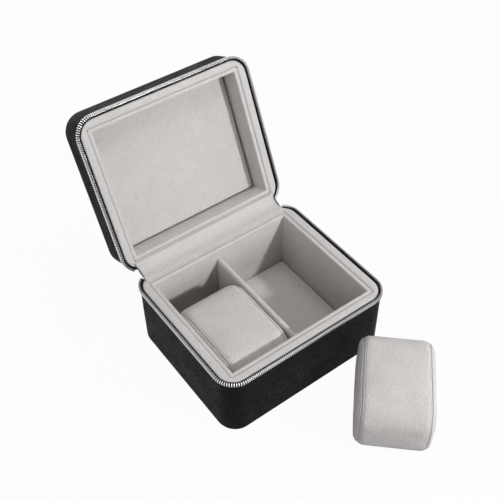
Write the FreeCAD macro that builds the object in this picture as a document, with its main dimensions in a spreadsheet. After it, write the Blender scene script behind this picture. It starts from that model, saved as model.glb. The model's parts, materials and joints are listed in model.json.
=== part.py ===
import FreeCAD, Part
import math
import os

import Sketcher

# Watch travel case: a zip-round box with a soft-hinged lid, a lined tray in each half,
# one divider and two watch pillows. Millimetres, +Z up, X along the hinge, Y to the back.
# The origin is the middle of the base's underside. The left pillow stands in its
# compartment and the right one has been lifted out and stands in front of the case.

doc = FreeCAD.newDocument("watch_travel_case")

# Driving dimensions: alias, value
driving = [
    ("rim_half_x", 78.0),
    ("rim_half_y", 66.0),
    ("rim_height", 62.5),
    ("rim_radius", 15.0),
    ("rim_gap", 1.5),
    ("lid_depth", 30.4),
    ("open_angle", 114.0),
    ("hinge_back", 1.9),
    ("hinge_drop", 1.3),
    ("leather_wall", 1.2),
    ("leather_floor", 1.0),
    ("leather_edge_bevel", 0.9),
    ("leather_below_teeth", 0.2),
    ("board_wall", 2.4),
    ("board_floor", 2.0),
    ("foam_wall", 5.2),
    ("tape_wall", 1.0),
    ("tape_height", 8.0),
    ("velvet_rim_height", 1.8),
    ("velvet_rim_drop", 0.3),
    ("velvet_rim_bevel", 0.7),
    ("groove_width", 0.8),
    ("groove_corner", 2.5),
    ("tray_wall", 3.5),
    ("tray_drop", 1.2),
    ("tray_corner", 1.0),
    ("tray_edge_bevel", 0.8),
    ("floor_pad", 1.0),
    ("fabric_gap", 0.3),
    ("divider_wall", 5.0),
    ("divider_skin", 0.8),
    ("divider_offset", -2.5),
    ("divider_drop", 11.5),
    ("panel_depth", 20.5),
    ("panel_gap", 0.6),
    ("panel_bevel", 1.5),
    ("panel_corner", 2.5),
    ("lid_foam_top", 1.6),
    ("teeth_pitch", 1.6),
    ("tooth_length", 0.68),
    ("tooth_thick", 2.4),
    ("tooth_height", 3.0),
    ("tooth_above_tape", 0.9),
    ("tooth_lean", 0.25),
    ("tooth_tip_share", 0.75),
    ("zip_end_inset", 6.7),
    ("lining_inset", 8.0),
    ("backing_margin", 1.0),
    ("lining_wall", 1.0),
    ("backing_wall", 0.5),
    ("contact_gap", 0.05),
    ("lining_bend", 12.3),
    ("lining_start", 7.3),
    ("lining_end", 7.2),
    ("spine_inset", 26.0),
    ("spine_wall", 1.0),
    ("spine_bend", 2.6),
    ("spine_leg", 19.0),
    ("tail_inset", 23.5),
    ("tail_length", 13.0),
    ("tail_web", 1.2),
    ("tail_web_inner", 1.55),
    ("tail_chain_out", 2.8),
    ("tail_chain_thick", 2.0),
    ("tail_chain_half", 2.2),
    ("tail_overlap_share", 0.2),
    ("stop_length", 1.8),
    ("stop_wall", 0.6),
    ("slider_length", 8.0),
    ("slider_travel", 2.5),
    ("slider_wall", 0.7),
    ("slider_end_half", 2.75),
    ("slider_clearance", 0.25),
    ("bridge_height", 2.5),
    ("bridge_wall", 0.9),
    ("bridge_width", 1.6),
    ("bridge_length", 5.0),
    ("pull_length", 24.0),
    ("pull_width", 5.0),
    ("pull_thick", 1.0),
    ("pull_eye_wall", 0.9),
    ("pull_slot_length", 3.0),
    ("pull_slot_width", 2.4),
    ("pillow_side_gap", 0.7),
    ("pillow_length", 84.6),
    ("pillow_height", 51.6),
    ("pillow_round", 19.0),
    ("pillow_cap_depth", 5.5),
    ("pillow_crown", 0.6),
    ("pillow_seam_sink", 0.7),
    ("pillow_skin", 1.4),
    ("pillow_cap_round", 12.0),
    ("pillow_corner_chords", 5),
    ("pillow_front_gap", 0.6),
    ("right_pillow_inset", 41.1),
    ("right_pillow_forward", 57.5),
    ("right_pillow_angle", -43.8),
]

sheet = doc.addObject("Spreadsheet::Sheet", "Sizes")
for row, (alias, value) in enumerate(driving, start=1):
    sheet.set("A%d" % row, alias)
    sheet.set("B%d" % row, str(value))
    sheet.setAlias("B%d" % row, alias)
doc.recompute()


class Size:
    """A length that knows both its value and its expression in the sheet."""

    def __init__(self, text, value):
        self.text = text
        self.value = value

    def __add__(self, other):
        other = as_size(other)
        return Size("(%s + %s)" % (self.text, other.text), self.value + other.value)

    def __sub__(self, other):
        other = as_size(other)
        return Size("(%s - %s)" % (self.text, other.text), self.value - other.value)

    def __mul__(self, share):
        return Size("(%s * %r)" % (self.text, share), self.value * share)

    def __neg__(self):
        return Size("(0 - %s)" % self.text, -self.value)


def as_size(thing):
    return thing if isinstance(thing, Size) else Size(repr(thing), thing)


def size(alias):
    return Size("Sizes." + alias, float(sheet.get(alias)))


# Shared stations, from the rim line (the standing edge of the zip tape) outwards and inwards
rim_x = size("rim_half_x")
rim_y = size("rim_half_y")
rim_z = size("rim_height")
rim_r = size("rim_radius")
half_tape = size("tape_wall") * 0.5
zero = as_size(0.0)
SAME = 1e-4


class Outline:
    """A rounded rectangle about the middle: half width, half depth and corner radius."""

    def __init__(self, x, y, r):
        self.x = x
        self.y = y
        self.r = r

    def grow(self, by):
        return Outline(self.x + by, self.y + by, self.r + by)


rim_line = Outline(rim_x, rim_y, rim_r)
tape_out = rim_line.grow(half_tape)
tape_in = tape_out.grow(-size("tape_wall"))
leather_out = tape_out.grow(size("leather_wall"))
board_in = tape_in.grow(-(size("board_wall") - size("tape_wall")))
foam_in = Outline(board_in.x - size("foam_wall"), board_in.y - size("foam_wall"), size("groove_corner"))
tray_out = foam_in.grow(-size("groove_width"))
tray_in = Outline(tray_out.x - size("tray_wall"), tray_out.y - size("tray_wall"), size("tray_corner"))


def named(obj, label):
    obj.Label = label
    return obj


def new_body(label):
    return named(doc.addObject("PartDesign::Body", label), label)


def origin_plane(body, role):
    for feature in body.Origin.OriginFeatures:
        if feature.Role == role:
            return feature
    raise ValueError("no plane " + role)


def new_sketch(body, name, role, offset):
    sketch = body.newObject("Sketcher::SketchObject", name)
    sketch.AttachmentSupport = [(origin_plane(body, role), "")]
    sketch.MapMode = "FlatFace"
    sketch.setExpression("AttachmentOffset.Base.z", offset.text)
    return sketch


def add_rounded_loop(sketch, outline, centre_x=zero, centre_y=zero):
    """Four lines and four tangent arcs, sized and centred by the sheet."""
    hx, hy, r = outline.x.value, outline.y.value, outline.r.value
    cx, cy = centre_x.value, centre_y.value
    first = sketch.GeometryCount
    vec = FreeCAD.Vector
    up = vec(0, 0, 1)
    ends = [
        (vec(cx - hx + r, cy - hy, 0), vec(cx + hx - r, cy - hy, 0)),
        (vec(cx + hx, cy - hy + r, 0), vec(cx + hx, cy + hy - r, 0)),
        (vec(cx + hx - r, cy + hy, 0), vec(cx - hx + r, cy + hy, 0)),
        (vec(cx - hx, cy + hy - r, 0), vec(cx - hx, cy - hy + r, 0)),
    ]
    for start, end in ends:
        sketch.addGeometry(Part.LineSegment(start, end), False)
    corners = [(1, -1, 270), (1, 1, 0), (-1, 1, 90), (-1, -1, 180)]
    for sx, sy, begin in corners:
        centre = vec(cx + sx * (hx - r), cy + sy * (hy - r), 0)
        arc = Part.ArcOfCircle(Part.Circle(centre, up, r), math.radians(begin), math.radians(begin + 90))
        sketch.addGeometry(arc, False)
    for k in range(4):
        line = first + k
        arc = first + 4 + k
        following = first + (k + 1) % 4
        sketch.addConstraint(Sketcher.Constraint("Tangent", line, 2, arc, 1))
        sketch.addConstraint(Sketcher.Constraint("Tangent", arc, 2, following, 1))
    for k in (0, 2):
        sketch.addConstraint(Sketcher.Constraint("Horizontal", first + k))
    for k in (1, 3):
        sketch.addConstraint(Sketcher.Constraint("Vertical", first + k))
    for k in range(3):
        sketch.addConstraint(Sketcher.Constraint("Equal", first + 4 + k, first + 5 + k))
    bound = [
        (Sketcher.Constraint("Radius", first + 4, r), outline.r),
        (Sketcher.Constraint("DistanceX", first + 3, 1, first + 1, 1, 2 * hx), outline.x * 2),
        (Sketcher.Constraint("DistanceY", first, 1, first + 2, 1, 2 * hy), outline.y * 2),
    ]
    for constraint, length in bound:
        index = sketch.addConstraint(constraint)
        sketch.setExpression("Constraints[%d]" % index, length.text)
    if centre_x is zero and centre_y is zero:
        sketch.addConstraint(Sketcher.Constraint("Symmetric", first + 4, 3, first + 6, 3, -1, 1))
    else:
        right = sketch.addConstraint(Sketcher.Constraint("DistanceX", -1, 1, first + 1, 1, cx + hx))
        sketch.setExpression("Constraints[%d]" % right, (centre_x + outline.x).text)
        top = sketch.addConstraint(Sketcher.Constraint("DistanceY", -1, 1, first + 2, 1, cy + hy))
        sketch.setExpression("Constraints[%d]" % top, (centre_y + outline.y).text)


def pad(body, name, outer, inner, bottom, height):
    """One layer of a body: a rounded plate, or a ring where an inner outline is given."""
    sketch = new_sketch(body, name + "_sketch", "XY_Plane", bottom)
    add_rounded_loop(sketch, outer)
    if inner is not None:
        add_rounded_loop(sketch, inner)
    layer = body.newObject("PartDesign::Pad", name)
    layer.Profile = sketch
    layer.setExpression("Length", height.text)
    doc.recompute()
    return layer


def ease_edges(body, name, layer, width, wanted):
    """Bevels the edges of the last layer that lie at the wanted places."""
    edges = []
    for k, edge in enumerate(layer.Shape.Edges, start=1):
        box = edge.BoundBox
        if wanted(box):
            edges.append("Edge%d" % k)
    bevel = body.newObject("PartDesign::Chamfer", name)
    bevel.Base = (layer, edges)
    bevel.setExpression("Size", width.text)
    doc.recompute()
    return bevel


def at_height(level):
    def wanted(box):
        return abs(box.ZMin - level) < SAME and abs(box.ZMax - level) < SAME
    return wanted


def on_outline(level, outline):
    """Edges at one height that run along the given outline, not along one inside it."""
    def wanted(box):
        reach_x = max(abs(box.XMin), abs(box.XMax))
        reach_y = max(abs(box.YMin), abs(box.YMax))
        outside = reach_x > outline.x.value - SAME or reach_y > outline.y.value - SAME
        return at_height(level)(box) and outside
    return wanted


parts = []


def keep(obj, label, placement=None):
    """Names a finished sub-part and puts it in its place."""
    named(obj, label)
    if placement is not None:
        obj.Placement = placement
    parts.append(obj)
    return obj


# Hinge axis and the lid's turn about it. Lid pieces are drawn in the closed position,
# and opened by one placement that they all share.
hinge_y = leather_out.y + size("hinge_back")
hinge_z = rim_z - size("hinge_drop")
hinge_point = FreeCAD.Vector(0, hinge_y.value, hinge_z.value)
x_axis = FreeCAD.Vector(1, 0, 0)
opened = FreeCAD.Placement(
    FreeCAD.Vector(0, 0, 0), FreeCAD.Rotation(x_axis, -size("open_angle").value), hinge_point
)
half_opened = FreeCAD.Placement(
    FreeCAD.Vector(0, 0, 0), FreeCAD.Rotation(x_axis, -size("open_angle").value / 2), hinge_point
)

# Heights in the base
leather_top = rim_z + size("tooth_above_tape") - size("tooth_height") - size("leather_below_teeth")
board_top = rim_z - size("velvet_rim_drop") - size("velvet_rim_height")
base_floor = size("leather_floor") + size("board_floor")
tray_top = rim_z - size("tray_drop")
floor_top = base_floor + size("floor_pad")

# Heights in the closed lid, which is turned over: its rim faces down
lid_rim = rim_z + size("rim_gap")
lid_top = lid_rim + size("lid_depth")
lid_leather_edge = lid_rim + (rim_z - leather_top)
lid_board_edge = lid_rim + (rim_z - board_top)
lid_velvet_edge = lid_rim + size("velvet_rim_drop")
lid_tray_edge = lid_rim + size("tray_drop")
lid_leather_under = lid_top - size("leather_wall")
lid_board_over = lid_leather_under - size("lid_foam_top")
lid_board_under = lid_board_over - size("board_floor")
lid_panel_face = lid_rim + size("panel_depth")


def make_board(label, floor_low, floor_high, wall_end, tape_level, placement=None):
    """A rigid box of board: a floor, a wall, and a rebate in the wall's edge for the zip tape."""
    body = new_body(label)
    pad(body, label + "_floor", tape_out, None, floor_low, floor_high - floor_low)
    if wall_end.value < floor_low.value:
        pad(body, label + "_wall", tape_out, board_in, tape_level, floor_low - tape_level)
        pad(body, label + "_edge", tape_in, board_in, wall_end, tape_level - wall_end)
    else:
        pad(body, label + "_wall", tape_out, board_in, floor_high, tape_level - floor_high)
        pad(body, label + "_edge", tape_in, board_in, tape_level, wall_end - tape_level)
    return keep(body, label, placement)


def make_layer(label, outer, inner, bottom, top, placement=None, bevel=None, wanted=None):
    """A ring or plate between two heights, with the wanted edges bevelled."""
    body = new_body(label)
    layer = pad(body, label + "_layer", outer, inner, bottom, top - bottom)
    if bevel is not None:
        ease_edges(body, label + "_bevel", layer, bevel, wanted)
    return keep(body, label, placement)


# Base shell: leather outside, board, foam ring and velvet, with the lined tray inside
wrap_bevel = size("leather_edge_bevel")
velvet_bevel = size("velvet_rim_bevel")
tray_bevel = size("tray_edge_bevel")
velvet_top = rim_z - size("velvet_rim_drop")
tape_low = rim_z - size("tape_height")
make_board("base_board", size("leather_floor"), base_floor, board_top, tape_low)
make_layer(
    "base_leather", leather_out, tape_out, zero, leather_top,
    None, wrap_bevel, on_outline(zero.value, leather_out),
)
make_layer("base_bottom_leather", tape_out, None, zero, size("leather_floor"))
make_layer("base_foam", board_in, foam_in, base_floor, board_top)
make_layer(
    "base_rim_velvet", tape_in, foam_in, board_top, velvet_top,
    None, velvet_bevel, at_height(velvet_top.value),
)
make_layer(
    "base_tray", tray_out, tray_in, base_floor, tray_top,
    None, tray_bevel, at_height(tray_top.value),
)
make_layer("base_floor_pad", tray_in, None, base_floor, floor_top)

# Lid shell, the same stack upside down, with a padded panel over the lid's board
lid_tape_end = lid_rim + size("tape_height")
make_board("lid_board", lid_board_under, lid_board_over, lid_board_edge, lid_tape_end, opened)
make_layer(
    "lid_leather", leather_out, tape_out, lid_leather_edge, lid_top,
    opened, wrap_bevel, on_outline(lid_top.value, leather_out),
)
make_layer("lid_top_leather", tape_out, None, lid_leather_under, lid_top, opened)
make_layer("lid_top_padding", tape_out, None, lid_board_over, lid_leather_under, opened)
make_layer("lid_foam", board_in, foam_in, lid_board_edge, lid_board_under, opened)
make_layer(
    "lid_rim_velvet", tape_in, foam_in, lid_velvet_edge, lid_board_edge,
    opened, velvet_bevel, at_height(lid_velvet_edge.value),
)
make_layer(
    "lid_tray", tray_out, tray_in, lid_tray_edge, lid_board_under,
    opened, tray_bevel, at_height(lid_tray_edge.value),
)
panel_out = Outline(tray_in.x - size("panel_gap"), tray_in.y - size("panel_gap"), size("panel_corner"))
make_layer(
    "lid_panel", panel_out, None, lid_panel_face, lid_board_under,
    opened, size("panel_bevel"), at_height(lid_panel_face.value),
)


def add_polygon(sketch, corners):
    """A closed loop of lines whose corners are held by the sheet."""
    first = sketch.GeometryCount
    count = len(corners)
    points = [FreeCAD.Vector(across.value, up.value, 0) for across, up in corners]
    for k in range(count):
        sketch.addGeometry(Part.LineSegment(points[k], points[(k + 1) % count]), False)
    for k in range(count):
        line = first + k
        following = first + (k + 1) % count
        sketch.addConstraint(Sketcher.Constraint("Coincident", line, 2, following, 1))
        for kind, length in (("DistanceX", corners[k][0]), ("DistanceY", corners[k][1])):
            index = sketch.addConstraint(Sketcher.Constraint(kind, -1, 1, line, 1, length.value))
            sketch.setExpression("Constraints[%d]" % index, length.text)


def pad_polygon(body, name, role, offset, corners, length):
    sketch = new_sketch(body, name + "_sketch", role, offset)
    add_polygon(sketch, corners)
    layer = body.newObject("PartDesign::Pad", name)
    layer.Profile = sketch
    layer.setExpression("Length", length.text)
    doc.recompute()
    return layer


def rectangle(left, right, low, high):
    return [(left, low), (right, low), (right, high), (left, high)]


# Divider: a board across the tray with a velvet cover folded over its top edge
divider_x = size("divider_offset")
divider_top = rim_z - size("divider_drop")
cover_half = size("divider_wall") * 0.5
core_half = cover_half - size("divider_skin")
core_top = divider_top - size("divider_skin")


def make_divider(label, corners):
    body = new_body(label)
    layer = pad_polygon(body, label + "_section", "XZ_Plane", -tray_in.y, corners, tray_in.y * 2)
    return body, layer


divider_board, divider_core = make_divider(
    "divider_board",
    rectangle(divider_x - core_half, divider_x + core_half, floor_top, core_top),
)
keep(divider_board, "divider_board")
divider_velvet, divider_fold = make_divider(
    "divider_velvet",
    [
        (divider_x - cover_half, floor_top),
        (divider_x - core_half, floor_top),
        (divider_x - core_half, core_top),
        (divider_x + core_half, core_top),
        (divider_x + core_half, floor_top),
        (divider_x + cover_half, floor_top),
        (divider_x + cover_half, divider_top),
        (divider_x - cover_half, divider_top),
    ],
)


def along_divider_top(box):
    return at_height(divider_top.value)(box) and box.YLength > tray_in.y.value


ease_edges(divider_velvet, "divider_velvet_bevel", divider_fold, velvet_bevel, along_divider_top)
keep(divider_velvet, "divider_velvet")


def make_feature(label, shape, placement=None):
    """A sub-part whose shape is made by a loop or along a path."""
    feature = doc.addObject("Part::Feature", label)
    feature.Shape = shape
    return keep(feature, label, placement)


# Zip tape and teeth: one open path round three sides and both back corners
class ZipPath:
    """The rim line from the zip's left end at the back, round the front, to its right end."""

    def __init__(self, outline, end_x):
        self.r = outline.r.value
        self.cx = outline.x.value - self.r
        self.cy = outline.y.value - self.r
        self.end_turn = math.degrees(math.acos((end_x.value - self.cx) / self.r))
        self.end_arc = self.r * math.radians(self.end_turn)
        self.side = 2 * self.cy
        self.front = 2 * self.cx
        self.arc = self.r * math.pi / 2
        self.length = 2 * (self.end_arc + self.side + self.arc) + self.front

    def corner(self, sign_x, sign_y, turn):
        """A point of a corner arc, and the outward direction there."""
        out = FreeCAD.Vector(math.cos(math.radians(turn)), math.sin(math.radians(turn)), 0)
        return FreeCAD.Vector(sign_x * self.cx, sign_y * self.cy, 0) + out * self.r, out

    def at(self, s):
        """The point at a distance s along the path, and the outward direction there."""
        if s > self.length / 2:
            point, out = self.at(self.length - s)
            return FreeCAD.Vector(-point.x, point.y, 0), FreeCAD.Vector(-out.x, out.y, 0)
        if s < self.end_arc:
            return self.corner(-1, 1, 180 - self.end_turn + math.degrees(s / self.r))
        s -= self.end_arc
        if s < self.side:
            return FreeCAD.Vector(-self.cx - self.r, self.cy - s, 0), FreeCAD.Vector(-1, 0, 0)
        s -= self.side
        if s < self.arc:
            return self.corner(-1, -1, 180 + math.degrees(s / self.r))
        s -= self.arc
        return FreeCAD.Vector(s - self.cx, -self.cy - self.r, 0), FreeCAD.Vector(0, -1, 0)


zip_path = ZipPath(rim_line, rim_x - size("zip_end_inset"))


def path_edges(offset, level):
    """The zip path moved outwards, as lines and arcs, from its left end to its right end."""
    marks = [0.0, zip_path.end_arc, zip_path.side, zip_path.arc, zip_path.front]
    marks += [zip_path.arc, zip_path.side, zip_path.end_arc]
    edges = []
    s = 0.0
    for k in range(1, len(marks)):
        ends = []
        for t in (s, s + marks[k] / 2, s + marks[k]):
            point, out = zip_path.at(min(t, zip_path.length))
            ends.append(point + out * offset + FreeCAD.Vector(0, 0, level))
        if k in (2, 4, 6):
            edges.append(Part.makeLine(ends[0], ends[2]))
        else:
            edges.append(Part.Arc(ends[0], ends[1], ends[2]).toShape())
        s += marks[k]
    return edges


def make_tape(label, low, high, placement=None):
    half = half_tape.value
    outer = path_edges(half, low.value)
    inner = path_edges(-half, low.value)
    left_end = Part.makeLine(inner[0].Vertexes[0].Point, outer[0].Vertexes[0].Point)
    right_end = Part.makeLine(inner[-1].Vertexes[-1].Point, outer[-1].Vertexes[-1].Point)
    wire = Part.Wire(Part.__sortEdges__(outer + inner + [left_end, right_end]))
    tape = Part.Face(wire).extrude(FreeCAD.Vector(0, 0, high.value - low.value))
    return make_feature(label, tape, placement)


def flat_face(points):
    return Part.Face(Part.makePolygon(points + points[:1]))


def solid_from(faces):
    solid = Part.Solid(Part.Shell(faces))
    if solid.Volume < 0:
        solid.reverse()
    return solid


def block(corners):
    """A solid with six flat faces, from its eight corners: four of one end, then of the other."""
    faces = []
    for ring in ((0, 1, 2, 3), (4, 5, 6, 7), (0, 1, 5, 4), (1, 2, 6, 5), (2, 3, 7, 6), (3, 0, 4, 7)):
        points = [corners[k] for k in ring]
        faces.append(flat_face(points))
    return solid_from(faces)


def tooth(root, out, along, rise):
    """One tooth, narrower and lower at its outer end, standing out from the tape's face."""
    half = size("tooth_length").value / 2
    tip_half = half * size("tooth_tip_share").value
    corners = []
    root_end = (0.0, half, 0.0)
    tip_end = (size("tooth_thick").value, tip_half, size("tooth_lean").value)
    for reach, half_here, inset in (root_end, tip_end):
        for side, level in ((-1, inset), (1, inset), (1, rise - inset), (-1, rise - inset)):
            point = root + out * reach + along * (side * half_here)
            corners.append(point + FreeCAD.Vector(0, 0, level))
    return block(corners)


def make_teeth(label, start, low, placement=None):
    pitch = size("teeth_pitch").value
    margin = size("tooth_length").value / 2
    upright = FreeCAD.Vector(0, 0, 1)
    solids = []
    s = start + margin
    while s < zip_path.length - margin:
        point, out = zip_path.at(s)
        root = point + out * half_tape.value + upright * low.value
        solids.append(tooth(root, out, upright.cross(out), size("tooth_height").value))
        s += pitch
    return make_feature(label, Part.makeCompound(solids), placement)


teeth_low = rim_z + size("tooth_above_tape") - size("tooth_height")
lid_teeth_low = lid_rim - size("tooth_above_tape")
make_tape("base_zip_tape", tape_low, rim_z)
make_teeth("base_zip_teeth", 0.0, teeth_low)
make_tape("lid_zip_tape", lid_rim, lid_tape_end, opened)
make_teeth("lid_zip_teeth", size("teeth_pitch").value / 2, lid_teeth_low, opened)


# Soft hinge: strips bent between the two shells, drawn as sections in the open position
def side_point(y, z):
    return FreeCAD.Vector(0, y, z)


def opened_point(y, z):
    return opened.multVec(side_point(y, z))


def opened_direction(y, z):
    return opened.Rotation.multVec(side_point(y, z))


def bent_strip(label, first, second, bend, near, far, half_width):
    """A strip that follows one line, bends, and follows a second line.

    Each line is a point and a direction. The strip lies between the offsets near and far
    to the left of the path, and the bend has its centre on the same side for bend > 0.
    """
    (p0, d0, before), (p1, d1, after) = first, second
    n0 = FreeCAD.Vector(0, -d0.z, d0.y)
    n1 = FreeCAD.Vector(0, -d1.z, d1.y)
    cross = d0.y * d1.z - d0.z * d1.y
    a = p0 + n0 * bend
    b = p1 + n1 * bend
    gap = b - a
    centre = a + d0 * ((gap.y * d1.z - gap.z * d1.y) / cross)
    middle = (n0 + n1).normalize()
    edges = []
    rails = []
    for offset in (near, far):
        swing = bend - offset
        arc_start = centre - n0 * swing
        arc_end = centre - n1 * swing
        start = p0 + d0 * before + n0 * offset
        end = p1 + d1 * after + n1 * offset
        edges.append(Part.makeLine(start, arc_start))
        edges.append(Part.Arc(arc_start, centre - middle * swing, arc_end).toShape())
        edges.append(Part.makeLine(arc_end, end))
        rails.append((start, end))
    edges.append(Part.makeLine(rails[0][0], rails[1][0]))
    edges.append(Part.makeLine(rails[0][1], rails[1][1]))
    face = Part.Face(Part.Wire(Part.__sortEdges__(edges)))
    strip = face.extrude(FreeCAD.Vector(2 * half_width, 0, 0))
    strip.translate(FreeCAD.Vector(-half_width, 0, 0))
    return make_feature(label, strip)


contact = size("contact_gap").value
lining_y = rim_y.value - size("lining_start").value
flange_line = (side_point(lining_y, velvet_top.value + contact), side_point(1, 0), 0.0)
lid_flange_point = opened_point(rim_y.value, lid_velvet_edge.value - contact)
lid_flange_line = (lid_flange_point, opened_direction(-1, 0), size("lining_end").value)
lining_bend = size("lining_bend").value
backing_wall = size("backing_wall").value
lining_half = (rim_x - size("lining_inset")).value
bent_strip(
    "hinge_backing", flange_line, lid_flange_line, lining_bend,
    0.0, backing_wall, lining_half + size("backing_margin").value,
)
bent_strip(
    "hinge_lining", flange_line, lid_flange_line, lining_bend,
    backing_wall, backing_wall + size("lining_wall").value, lining_half,
)
spine_bend = size("spine_bend").value
spine_low = leather_top.value - size("spine_leg").value
back_face_line = (side_point(leather_out.y.value, spine_low), side_point(0, 1), 0.0)
lid_back_point = opened_point(leather_out.y.value, lid_leather_edge.value)
lid_back_line = (lid_back_point, opened_direction(0, 1), size("spine_leg").value)
bent_strip(
    "hinge_leather", back_face_line, lid_back_line, -spine_bend,
    -size("spine_wall").value, 0.0, (rim_x - size("spine_inset")).value,
)

# Zip ends behind the hinge, drawn about the hinge axis: Y outwards, Z across the chain
hinge_frame = half_opened.copy()
hinge_frame.Base = hinge_point
tail_x = rim_x - size("tail_inset")
tail_length = size("tail_length")
web_out = size("tail_chain_out")
chain_out = web_out + size("tail_chain_thick")
chain_half = size("tail_chain_half")


def make_box(name, x, y, z, length, depth, height):
    """A box held by the sheet: its low corner, then its three sides."""
    box = doc.addObject("Part::Box", name)
    for axis, place in (("x", x), ("y", y), ("z", z)):
        box.setExpression("Placement.Base." + axis, place.text)
    for side, extent in (("Length", length), ("Width", depth), ("Height", height)):
        box.setExpression(side, extent.text)
    return box


def fused(name, shapes):
    join = doc.addObject("Part::MultiFuse", name)
    join.Shapes = shapes
    return join


def grouped(name, shapes):
    group = doc.addObject("Part::Compound", name)
    group.Links = shapes
    return group


def cut(name, base, tool):
    result = doc.addObject("Part::Cut", name)
    result.Base = base
    result.Tool = tool
    return result


def both_sides(label, depth_from, depth_to, half_height, x_from, length):
    """The same box at the left and right zip ends."""
    boxes = []
    for side, low in (("right", x_from), ("left", -(x_from + length))):
        boxes.append(make_box(
            label + "_" + side, low, depth_from, -half_height, length, depth_to - depth_from, half_height * 2,
        ))
    return keep(grouped(label, boxes), label, hinge_frame)


web_half = size("tail_web") * 0.5
stop_length = size("stop_length")
stop_out = chain_out + size("stop_wall")
both_sides("zip_tail_tape", -size("tail_web_inner"), web_out, web_half, tail_x, tail_length)
both_sides("zip_end_stops", web_out, stop_out, chain_half + size("stop_wall"), tail_x, stop_length)


def make_tail_teeth(label):
    """The closed end of the chain: teeth from the two sides, turn about."""
    step = size("teeth_pitch").value / 2
    half = size("tooth_length").value / 2
    reach = chain_half.value
    overlap = reach * size("tail_overlap_share").value
    solids = []
    x = tail_x.value + stop_length.value + step
    count = 0
    while x < tail_x.value + tail_length.value - half:
        low, high = (-overlap, reach) if count % 2 else (-reach, overlap)
        for side in (1, -1):
            corners = []
            for y in (web_out.value, chain_out.value):
                for dx, z in ((-half, low), (half, low), (half, high), (-half, high)):
                    corners.append(FreeCAD.Vector(side * x + dx, y, z))
            solids.append(block(corners))
        x += step
        count += 1
    return make_feature(label, Part.makeCompound(solids), hinge_frame)


make_tail_teeth("zip_tail_teeth")

# Slider: a channel round the chain, shaped to a boat in plan, with a bridge for the pull
clearance = size("slider_clearance")
slider_wall = size("slider_wall")
slider_x = tail_x + stop_length + clearance
slider_length = size("slider_length")
channel_low = web_out - clearance
channel_high = chain_out + clearance
channel_half = chain_half + clearance
slider_low = channel_low - slider_wall
slider_high = channel_high + slider_wall
slider_half = channel_half + slider_wall
end_half = size("slider_end_half")
shoulder = slider_length * 0.3

slider_plan = new_body("slider_plan")
pad_polygon(
    slider_plan, "slider_plan_pad", "XZ_Plane", -slider_high,
    [
        (slider_x, -end_half),
        (slider_x + shoulder, -slider_half),
        (slider_x + slider_length - shoulder, -slider_half),
        (slider_x + slider_length, -end_half),
        (slider_x + slider_length, end_half),
        (slider_x + slider_length - shoulder, slider_half),
        (slider_x + shoulder, slider_half),
        (slider_x, end_half),
    ],
    slider_high - slider_low,
)
channel = make_box(
    "slider_channel", slider_x - clearance, channel_low, -channel_half,
    slider_length + clearance * 2, channel_high - channel_low, channel_half * 2,
)
slot = make_box(
    "slider_slot", slider_x - clearance, slider_low - clearance, -(web_half + clearance),
    slider_length + clearance * 2, slider_wall + clearance * 2, (web_half + clearance) * 2,
)
bridge_length = size("bridge_length")
bridge_wall = size("bridge_wall")
bridge_half = size("bridge_width") * 0.5
bridge_x = slider_x + (slider_length - bridge_length) * 0.5
bridge_block = make_box(
    "slider_bridge_block", bridge_x, slider_high - clearance, -bridge_half,
    bridge_length, size("bridge_height") + clearance, bridge_half * 2,
)
bridge_opening = make_box(
    "slider_bridge_opening", bridge_x + bridge_wall, slider_high, -slider_half,
    bridge_length - bridge_wall * 2, size("bridge_height") - bridge_wall, slider_half * 2,
)
slider_solid = fused("slider_solid", [slider_plan, bridge_block])
slider_hollow = fused("slider_hollow", [channel, slot, bridge_opening])
keep(cut("zip_slider", slider_solid, slider_hollow), "zip_slider", hinge_frame)

# Pull: a flat tab whose eye passes under the bridge
pull_x = bridge_x + bridge_length * 0.5 - size("pull_thick") * 0.5
pull_low = slider_high + (size("bridge_height") - bridge_wall - size("pull_eye_wall")) * 0.5
pull_plate = make_box(
    "pull_plate", pull_x, pull_low, -size("pull_width") * 0.5,
    size("pull_thick"), size("pull_length"), size("pull_width"),
)
pull_slot = make_box(
    "pull_slot", pull_x - clearance, pull_low + size("pull_eye_wall"), -size("pull_slot_width") * 0.5,
    size("pull_thick") + clearance * 2, size("pull_slot_length"), size("pull_slot_width"),
)
keep(cut("zip_pull", pull_plate, pull_slot), "zip_pull", hinge_frame)


# Pillows: a padded band round the long way and a padded cap on each side
pillow_half = ((tray_in.x + divider_x - cover_half) * 0.5 - size("pillow_side_gap")).value
pillow_skin = size("pillow_skin").value
pillow_crown = size("pillow_crown").value
cap_depth = size("pillow_cap_depth").value
seam_x = pillow_half - cap_depth
seam_inset = pillow_crown + size("pillow_seam_sink").value
cap_edge = size("pillow_cap_round").value
corner_chords = int(size("pillow_corner_chords").value)


def section(across, inset):
    """The corners of one section of a pillow, square to its width, each turn in short chords."""
    r = size("pillow_round").value - inset
    centre_y = size("pillow_length").value / 2 - inset - r
    centre_z = size("pillow_height").value / 2 - inset - r
    points = []
    for quarter, (sign_y, sign_z) in enumerate(((1, 1), (-1, 1), (-1, -1), (1, -1))):
        for k in range(corner_chords + 1):
            turn = math.radians(90 * (quarter + k / corner_chords))
            y = sign_y * centre_y + r * math.cos(turn)
            z = sign_z * centre_z + r * math.sin(turn)
            points.append(FreeCAD.Vector(across, y, z))
    return points


def padded_form(stations):
    """A closed form through sections: each station is a place across the width and an inset."""
    rings = [section(across, inset) for across, inset in stations]
    faces = [flat_face(rings[0]), flat_face(rings[-1])]
    for near, far in zip(rings, rings[1:]):
        for k in range(len(near)):
            after = (k + 1) % len(near)
            faces.append(flat_face([near[k], near[after], far[after], far[k]]))
    return solid_from(faces)


def mirrored(stations):
    return [(-across, inset) for across, inset in reversed(stations)]


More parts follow.
